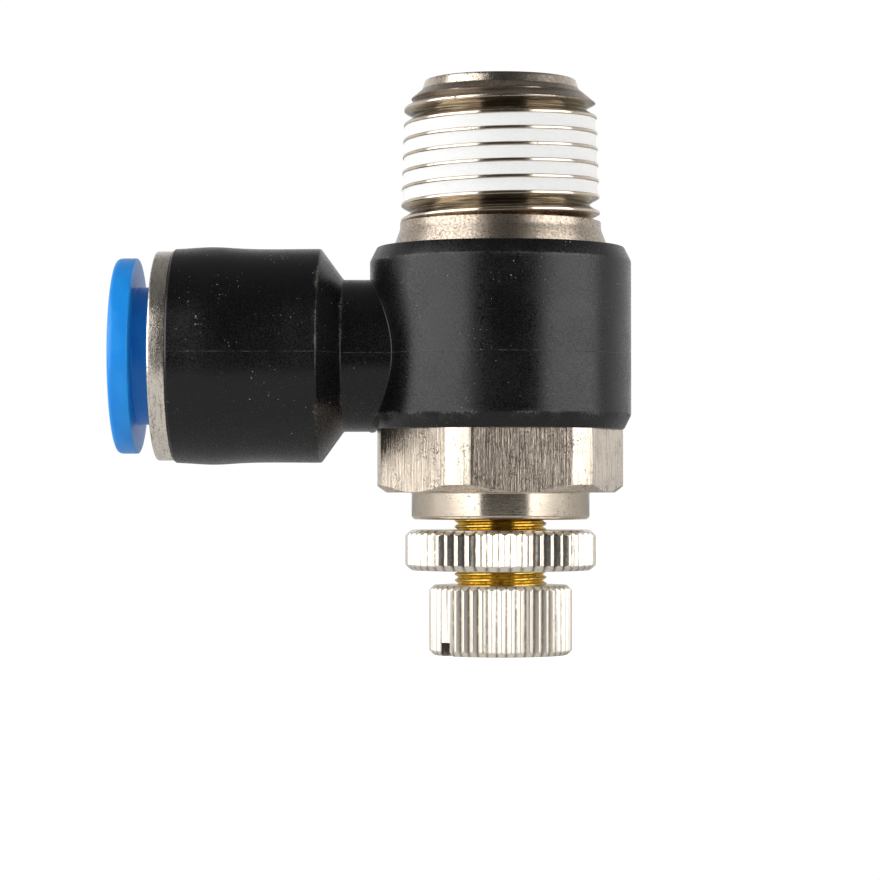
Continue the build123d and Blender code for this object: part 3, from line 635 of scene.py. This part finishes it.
# blue acetal, injection moulded: slightly translucent, even colour, smooth with faint flow marks
def mouldedBlue():
    look = {"plastic": "#1E9EF6", "deep": "#1492EE", "ior": 1.48, "relief": 0.004, "glow": 0.35,
            "glowRadius": (0.2, 0.6, 1.0), "glowDepth": 1.2}
    grains = {"cloud": ((1.8, 2.6, 2.6), 3.0, 0.5), "skin": ((0.12, 0.12, 0.12), 2.0, 0.5)}
    material, add = startMaterial("acetalMouldedBlue")
    where = add("TexCoord", output="Object")
    field = addGrains(add, where, grains)
    share = add("MapRange", (field["cloud"], 0.4, 0.7))
    colour = add("Mix", {0: share, 6: hexColour(look["plastic"]), 7: hexColour(look["deep"])}, colours, 2)
    dull = add("MapRange", (field["skin"], 0.3, 0.75, 0.30, 0.42))
    normal = add("Bump", {"Height": field["skin"], "Distance": look["relief"] * millimetre})
    return closeMaterial(material, add, colour, dull, normal, {
        "IOR": look["ior"], "Subsurface Weight": look["glow"], "Subsurface Radius": look["glowRadius"],
        "Subsurface Scale": look["glowDepth"] * millimetre})


ringAngles = np.linspace(0, turn, 192, endpoint=False)
capGrid = tubeGrid(roundOutline(capRing["outline"], capRing["cuts"], 6), ringAngles, elbow["axis"])
capPiece = gridObject("capRing", *capGrid)
finishPiece(capPiece, tumbledNickel(), "elbow", "nickel_cap", "collet_cap_ring")
colletGrid = tubeGrid(roundOutline(collet["outline"], collet["cuts"], 7), ringAngles, elbow["axis"])
colletPiece = gridObject("colletMoulded", *colletGrid)
finishPiece(colletPiece, mouldedBlue(), "release_collet", "blue_plastic", "release_collet")
print("cap ring and collet made")


# lock nut and knob

lockNut = {"radius": 8.03, "ridges": 50, "depth": 0.31, "crestHalf": 0.04, "turn": 2.6,
           "top": -28.85, "low": -32.25, "chamferIn": 0.52, "chamferUp": 0.45,
           "inside": [(4.23, -28.85), (3.93, -29.15), (3.93, -31.95), (4.23, -32.25)],
           "smoothest": 0.14, "roughest": 0.30}
knob = {"radius": 6.03, "ridges": 46, "depth": 0.25, "crestHalf": 0.04, "turn": 0.9,
        "top": -33.49, "low": -39.35, "chamferIn": 0.4, "chamferUp": 0.4,
        "inside": [(3.9, -33.49), (3.9, -33.6), (3.2, -33.6), (3.2, -37.9), (0.0, -37.9), (0.0, -39.35)],
        "smoothest": 0.26, "roughest": 0.42, "slotAngle": math.radians(219.0), "slotHalf": 0.65,
        "slotTop": -38.2, "slotLow": -41.0, "slotReach": 9.0}
# rounding of both knurls, and where the dirt and painted shade start in a groove, as shares of its depth, and
# fade at the faces
knurl = {"crestRound": 0.025, "rootRound": 0.03, "coneRound": 0.05, "faceEase": 0.03,
         "dirtAndShadeStart": 0.82, "dirtAndShadeRun": 0.15, "dirtAndShadeFade": 0.06}


# bright nickel plate over rolled knurls: clean mirror-like flanks, with brown dirt and painted shade in thin
# lines along the groove bottoms and in the knob's slot. The slot's sides are found by their distance from its
# middle plane
def brightNickel(name, spec):
    look = {"plate": "#F8F0E4", "stain": "#9A8C76", "dirtAndShade": "#43341F", "stains": (0.60, 0.72, 0.0, 0.75),
            "grooveDirtAndShade": (0.32, 0.50, 0.35, 1.0), "slotDirtAndShade": (0.35, 0.65, 0.35, 0.80), "relief": 0.003}
    grains = {"lines": ((0.16, 0.16, 2.5), 3.0, 0.6), "patch": ((0.30, 0.30, 0.7), 4.0, 0.75)}
    material, add = startMaterial(name)
    where = add("TexCoord", output="Object")
    field = addGrains(add, where, grains)
    cavity = add("Attribute", settings={"attribute_name": "cavity"}, output="Fac")
    # painted shade: the groove bottoms and the slot's sides are mixed towards dark brown, partly dirt and
    # partly painted shade
    dirtyAndShaded = add("Math", (cavity, add("MapRange", (field["patch"], *look["grooveDirtAndShade"]))), multiply)
    if "slotAngle" in spec:
        across = (-math.sin(spec["slotAngle"]), math.cos(spec["slotAngle"]), 0.0)
        offSlot = add("VectorMath", (where, across), {"operation": "DOT_PRODUCT"}, "Value")
        offSlot = add("Math", [offSlot], positive)
        height = add("SeparateXYZ", [where], output="Z")
        within = (offSlot, (spec["slotHalf"] + 0.005) * millimetre, (spec["slotHalf"] + 0.001) * millimetre)
        under = (height, (spec["slotTop"] + 0.01) * millimetre, spec["slotTop"] * millimetre)
        onSlot = add("Math", (add("MapRange", within), add("MapRange", under)), multiply)
        slotDirtAndShade = add("Math", (onSlot, add("MapRange", (field["patch"], *look["slotDirtAndShade"]))), multiply)
        dirtyAndShaded = add("Math", (dirtyAndShaded, slotDirtAndShade), larger)
    stains = add("MapRange", (field["patch"], *look["stains"]))
    stained = add("Mix", {0: stains, 6: hexColour(look["plate"]), 7: hexColour(look["stain"])}, colours, 2)
    colour = add("Mix", {0: dirtyAndShaded, 6: stained, 7: hexColour(look["dirtAndShade"])}, colours, 2)
    dull = add("MapRange", (field["patch"], 0.3, 0.8, spec["smoothest"], spec["roughest"]))
    normal = add("Bump", {"Height": field["lines"], "Distance": look["relief"] * millimetre})
    return closeMaterial(material, add, colour, dull, normal, {"Metallic": 1.0})


# angles of the columns: nine to a ridge, on the crest edges, the flanks and the valley
def knurlAngles(spec):
    pitch = turn / spec["ridges"]
    crest = spec["crestHalf"] / spec["radius"]
    edges = crest * np.array([-1.4, -0.6, 0.6, 1.4])
    steps = np.concatenate([edges, pitch * np.array([0.25, 0.46, 0.5, 0.54, 0.75])])
    middles = math.radians(spec["turn"] - 90.0) + pitch * np.arange(spec["ridges"])
    return (middles[:, None] + steps[None, :]).ravel()


# straight knurl: the radius falls on both sides of each crest to the middle of the groove
def knurlRadius(angles, spec):
    pitch = turn / spec["ridges"]
    fromFirst = angles - math.radians(spec["turn"] - 90.0)
    away = np.abs((fromFirst + 0.5 * pitch) % pitch - 0.5 * pitch) * spec["radius"]
    slope = spec["depth"] / (0.5 * pitch * spec["radius"] - spec["crestHalf"])
    flank = spec["radius"] - (away - spec["crestHalf"]) * slope
    crest, root = spec["radius"] + 0.0 * flank, spec["radius"] - spec["depth"] + 0.0 * flank
    return smoothMax(smoothMin(flank, crest, knurl["crestRound"]), root, knurl["rootRound"])


# knurled disc: the knurl is cut by a cone at each end, then the faces run in to the bore; the groove bottoms
# carry the dirt and painted shade, which fade at the end faces
def makeKnurled(name, spec):
    a = knurlAngles(spec)[None, :]
    ease = np.concatenate([[0.0, 0.012, 0.03], np.linspace(0.06, spec["chamferUp"] * 1.8, 14)])
    z = np.concatenate([spec["low"] + ease, spec["top"] - ease[::-1]])[:, None] + 0.0 * a
    fromEnd = np.minimum(z - spec["low"], spec["top"] - z)
    lowCone = spec["radius"] - spec["chamferIn"] + (z - spec["low"]) * spec["chamferIn"] / spec["chamferUp"]
    highCone = spec["radius"] - spec["chamferIn"] + (spec["top"] - z) * spec["chamferIn"] / spec["chamferUp"]
    side = smoothMin(knurlRadius(a, spec) + 0.0 * z, lowCone, knurl["coneRound"])
    side = smoothMin(side, highCone, knurl["coneRound"])
    side = side - (knurl["faceEase"] - np.minimum(fromEnd, knurl["faceEase"])) ** 2 / knurl["faceEase"]
    depth = (spec["radius"] - knurlRadius(a, spec)) / spec["depth"]
    # dirt and painted shade in the deepest part of each groove
    dirtAndShade = np.clip((depth - knurl["dirtAndShadeStart"]) / knurl["dirtAndShadeRun"], 0.0, 1.0)
    dirtAndShade = dirtAndShade * np.clip(fromEnd / knurl["dirtAndShadeFade"], 0.0, 1.0)
    inside = roundOutline(spec["inside"], 0.05, 3)
    z = np.concatenate([z, inside[:, 1][:, None] + 0.0 * a])
    r = np.concatenate([side, inside[:, 0][:, None] + 0.0 * a])
    dirtAndShade = np.concatenate([dirtAndShade, np.zeros((len(inside), a.size))])
    return gridObject(name, r * np.cos(a), r * np.sin(a), z, sharpAngle=20.0, attributes={"cavity": dirtAndShade})


# screwdriver slot: a box across the knob, as rows that spread from its middle to its four sides
def makeSlotCutter():
    c, s = math.cos(knob["slotAngle"]), math.sin(knob["slotAngle"])
    along = np.array([-1, 1, 1, -1]) * knob["slotReach"]
    across = np.array([-1, -1, 1, 1]) * knob["slotHalf"]
    spread = np.array([0.0, 1.0, 1.0, 0.0])[:, None]
    x, y = spread * (along * c - across * s)[None, :], spread * (along * s + across * c)[None, :]
    z = np.array([knob["slotLow"], knob["slotLow"], knob["slotTop"], knob["slotTop"]])[:, None] + 0.0 * x
    return gridObject("slotCutter", x, y, z, closeRows=False)


nutPiece = makeKnurled("lockNutKnurled", lockNut)
nickelNut = brightNickel("nickelPlatedBrassKnurled", lockNut)
finishPiece(nutPiece, nickelNut, "lock_nut", "nickel_knurl", "lock_nut")
knobPiece = combine(makeKnurled("knobKnurled", knob), [makeSlotCutter()], "DIFFERENCE", 20.0)
nickelKnob = brightNickel("nickelPlatedBrassKnurledSatin", knob)
finishPiece(knobPiece, nickelKnob, "needle", "nickel_knurl", "adjust_knob")
print("lock nut and knob made", len(nutPiece.data.polygons), len(knobPiece.data.polygons))


# needle screw

fineThread = {"pitch": 0.5, "depth": 0.30, "gaugeRadius": 3.88, "taper": 0.0, "flank": 30.0, "rootHalf": 0.02,
              "grooveHeight": -35.1, "rootRound": 0.06, "crestRound": 0.05}
needle = {"tip": [(0.0, -6.5), (1.02, -6.5), (1.17, -6.7)], "coneAngle": 15.0, "shaft": 3.0,
          "threadTop": -23.3, "threadLow": -33.6, "neck": 3.53,
          "columns": 109, "phases": [0.0, 0.08, 0.2, 0.32, 0.44, 0.56, 0.68, 0.8, 0.92],
          # (radius, height) of the shaft below the cone, with its O-ring groove
          "collars": [(3.0, -19.6), (3.98, -19.6), (4.08, -19.7), (4.08, -20.25), (3.1, -20.25),
                      (3.1, -21.65), (4.08, -21.65), (4.08, -22.3), (3.53, -22.3), (3.53, -23.3)],
          "tail": [(3.2, -33.6), (3.2, -37.9), (0.0, -37.9)]}


# free-cutting brass as turned: deep gold with fine rings
def turnedBrass():
    look = {"brass": "#E6C76C", "tarnish": "#907434", "relief": 0.002}
    grains = {"rings": ((4.0, 4.0, 0.06), 3.0, 0.6), "patch": ((0.5, 0.5, 0.3), 3.0, 0.6)}
    material, add = startMaterial("brassTurned")
    where = add("TexCoord", output="Object")
    field = addGrains(add, where, grains)
    share = add("MapRange", (field["patch"], 0.45, 0.75, 0.0, 0.7))
    colour = add("Mix", {0: share, 6: hexColour(look["brass"]), 7: hexColour(look["tarnish"])}, colours, 2)
    dull = add("MapRange", (field["patch"], 0.3, 0.8, 0.12, 0.28))
    normal = add("Bump", {"Height": field["rings"], "Distance": look["relief"] * millimetre})
    return closeMaterial(material, add, colour, dull, normal, {"Metallic": 1.0})


# turned outline from the tip down, with a helical thread between its relief groove and the knob
def makeNeedle():
    angles = np.linspace(0, turn, needle["columns"])
    a = angles[None, :]
    ones = np.ones_like(a)
    tipRadius, coneTop = needle["tip"][-1]
    coneLow = coneTop - (needle["shaft"] - tipRadius) / math.tan(math.radians(needle["coneAngle"]))
    outline = [*needle["tip"], (needle["shaft"], coneLow), *needle["collars"]]
    upper = roundOutline(outline, [0] + [0.05] * 12 + [0], 4)[3:-3]
    phases = np.array(needle["phases"])
    z = helixRows(needle["threadLow"], needle["threadTop"], angles, phases, fineThread)[::-1]
    start = needle["neck"] + 0.02 + needle["threadTop"] - z
    r = smoothMin(threadRadius(z, a, fineThread), start, 0.05)
    tail = np.array(needle["tail"])
    z = np.concatenate([upper[:, 1][:, None] * ones, z, tail[:, 1][:, None] * ones])
    r = np.concatenate([upper[:, 0][:, None] * ones, r, tail[:, 0][:, None] * ones])
    return gridObject("needleScrewTurned", r * np.cos(a), r * np.sin(a), z, closeRows=False,
                      closeColumns=False, sharpAngle=38.0)


brassBare = turnedBrass()
needlePiece = makeNeedle()
finishPiece(needlePiece, brassBare, "needle", "bare_brass", "needle_screw")
print("needle screw made", len(needlePiece.data.polygons))


# pieces carried over from the frame

# nitrile rubber, compression moulded: dull black
rubber = {"name": "nitrileRubberMoulded", "grain": (0.15, 0.15, 0.15), "light": "#161616", "dark": "#232322",
          "relief": 0.005, "roughness": 0.6, "shader": {"IOR": 1.5}}
# natural acetal, moulded: milky off-white
naturalAcetal = {"name": "acetalMouldedNatural", "grain": (0.3, 0.3, 0.3), "light": "#E9E6DE",
                 "dark": "#DBD7CC",
                 "relief": 0.004, "roughness": 0.4, "shader": {"IOR": 1.48}}
# spring steel strip, stamped: grey with straight rolling lines
springSteel = {"name": "springSteelStamped", "grain": (0.3, 6.0, 0.08), "light": "#B9B8B4", "dark": "#8F8E8A",
               "relief": 0.006, "roughness": 0.3, "shader": {"Metallic": 1.0}}


# a plain finish: two close colours and a slight relief that follow one grain
def plainFinish(look):
    material, add = startMaterial(look["name"])
    where = add("TexCoord", output="Object")
    skin = addGrains(add, where, {"skin": (look["grain"], 3.0, 0.6)})["skin"]
    share = add("MapRange", (skin, 0.3, 0.7))
    colour = add("Mix", {0: share, 6: hexColour(look["light"]), 7: hexColour(look["dark"])}, colours, 2)
    normal = add("Bump", {"Height": skin, "Distance": look["relief"] * millimetre})
    return closeMaterial(material, add, colour, look["roughness"], normal, look["shader"])


rubberBlack = plainFinish(rubber)
carried = {"seat_sleeve": brassBare, "check_lip_seal": rubberBlack, "upper_o_ring": rubberBlack,
           "lower_o_ring": rubberBlack, "tube_seal": rubberBlack, "needle_o_ring": rubberBlack,
           "claw_support_ring": plainFinish(naturalAcetal), "claw_washer": plainFinish(springSteel)}
for name, material in carried.items():
    nodes[name].data.materials.clear()
    nodes[name].data.materials.append(material)
print("inner pieces finished")


# studio

studio = {"eye": (0.8, -262.0, -25.9), "aim": (-5.1, 0.0, -21.3), "lens": 127.2,
          "paper": "#F7F7F6", "floorGap": 3.05, "tableGlow": 0.8, "tableFront": -90.0, "tableSide": 600.0,
          "tableBack": 900.0, "backdrop": 1.02, "facing": -6.0,
          # a part of the sky's direction from and to, and the brightness it goes from and to
          "behind": (-0.9, 0.6, 0.06, 0.85), "overhead": (0.25, 0.75, 1.0, 0.25)}
# azimuth from the front in degrees; distance, height, width and height of the panel in metres; power in watts
softboxes = {"softboxLeft": (-60, 0.45, 0.14, 0.60, 0.60, 2.85),
             "softboxRight": (64, 0.45, 0.07, 0.46, 0.44, 1.6)}

camera = bpy.data.objects.new("camera", bpy.data.cameras.new("camera"))
bpy.context.scene.collection.objects.link(camera)
camera.data.lens = studio["lens"]
camera.data.sensor_width = 36.0
camera.data.clip_start = 0.01
eye, aim = Vector(studio["eye"]) * millimetre, Vector(studio["aim"]) * millimetre
camera.matrix_world = Matrix.Translation(eye) @ (aim - eye).to_track_quat("-Z", "Y").to_matrix().to_4x4()
bpy.context.scene.camera = camera

# upright lamps that face the middle of the valve
for name, (degrees, distance, height, width, tall, power) in softboxes.items():
    lamp = bpy.data.lights.new(name, "AREA")
    lamp.shape, lamp.size, lamp.size_y, lamp.energy = "RECTANGLE", width, tall, power
    softbox = bpy.data.objects.new(name, lamp)
    bpy.context.scene.collection.objects.link(softbox)
    azimuth = math.radians(degrees)
    place = Vector((distance * math.sin(azimuth), -distance * math.cos(azimuth), height))
    facing = Vector((studio["facing"] * millimetre, 0.0, height)) - place
    softbox.matrix_world = Matrix.Translation(place) @ facing.to_track_quat("-Z", "Y").to_matrix().to_4x4()


# matt white paper that looks as bright as the backdrop; it is clear where the camera sees it from below
def paleFloorPaper():
    material, add = startMaterial("paleFloorPaper")
    seen = add("LightPath", output="Is Camera Ray")
    glow = add("Math", (seen, studio["tableGlow"]), multiply)
    paper = add("BsdfPrincipled", {
        "Roughness": 0.9, "Specular IOR Level": 0.1, "Base Color": hexColour(studio["paper"]),
        "Emission Color": (1.0, 1.0, 1.0, 1.0), "Emission Strength": glow})
    fromBelow = add("Math", (add("NewGeometry", output="Backfacing"), seen), multiply)
    surface = add("MixShader", (fromBelow, paper, add("BsdfTransparent")))
    add("OutputMaterial", {"Surface": surface})
    return material


floorMesh = bpy.data.meshes.new("floor")
cornerX = np.array([-1, 1, 1, -1]) * studio["tableSide"]
cornerY = np.array([studio["tableFront"], studio["tableFront"], studio["tableBack"], studio["tableBack"]])
floorHeight = knob["low"] - studio["floorGap"]  # clear of the knob when the needle is screwed fully out
corners = np.stack([cornerX, cornerY, np.full(4, floorHeight)], axis=1) * millimetre
floorMesh.from_pydata(corners.tolist(), [], [(0, 1, 2, 3)])
floorMesh.materials.append(paleFloorPaper())
floor = bpy.data.objects.new("floor", floorMesh)
bpy.context.scene.collection.objects.link(floor)

# room light: dark towards the front and overhead, pale behind; plain white where it is seen directly
world = bpy.data.worlds.new("studio")
bpy.context.scene.world = world
world.use_nodes = True
world.node_tree.nodes.clear()
add = partial(addNode, world.node_tree)
direction = add("TexCoord", output="Generated")
behind = add("MapRange", (add("SeparateXYZ", [direction], output="Y"), *studio["behind"]))
overhead = add("MapRange", (add("SeparateXYZ", [direction], output="Z"), *studio["overhead"]))
strength = add("Math", (behind, overhead), multiply)
room = add("Background", {"Color": (1.0, 1.0, 1.0, 1.0), "Strength": strength})
backdrop = add("Background", {"Color": (1.0, 1.0, 1.0, 1.0), "Strength": studio["backdrop"]})
seen = add("LightPath", output="Is Camera Ray")
add("OutputWorld", {"Surface": add("MixShader", (seen, room, backdrop))})
bpy.context.scene.view_settings.view_transform = "Standard"
print("studio made")

bpy.context.view_layer.update()
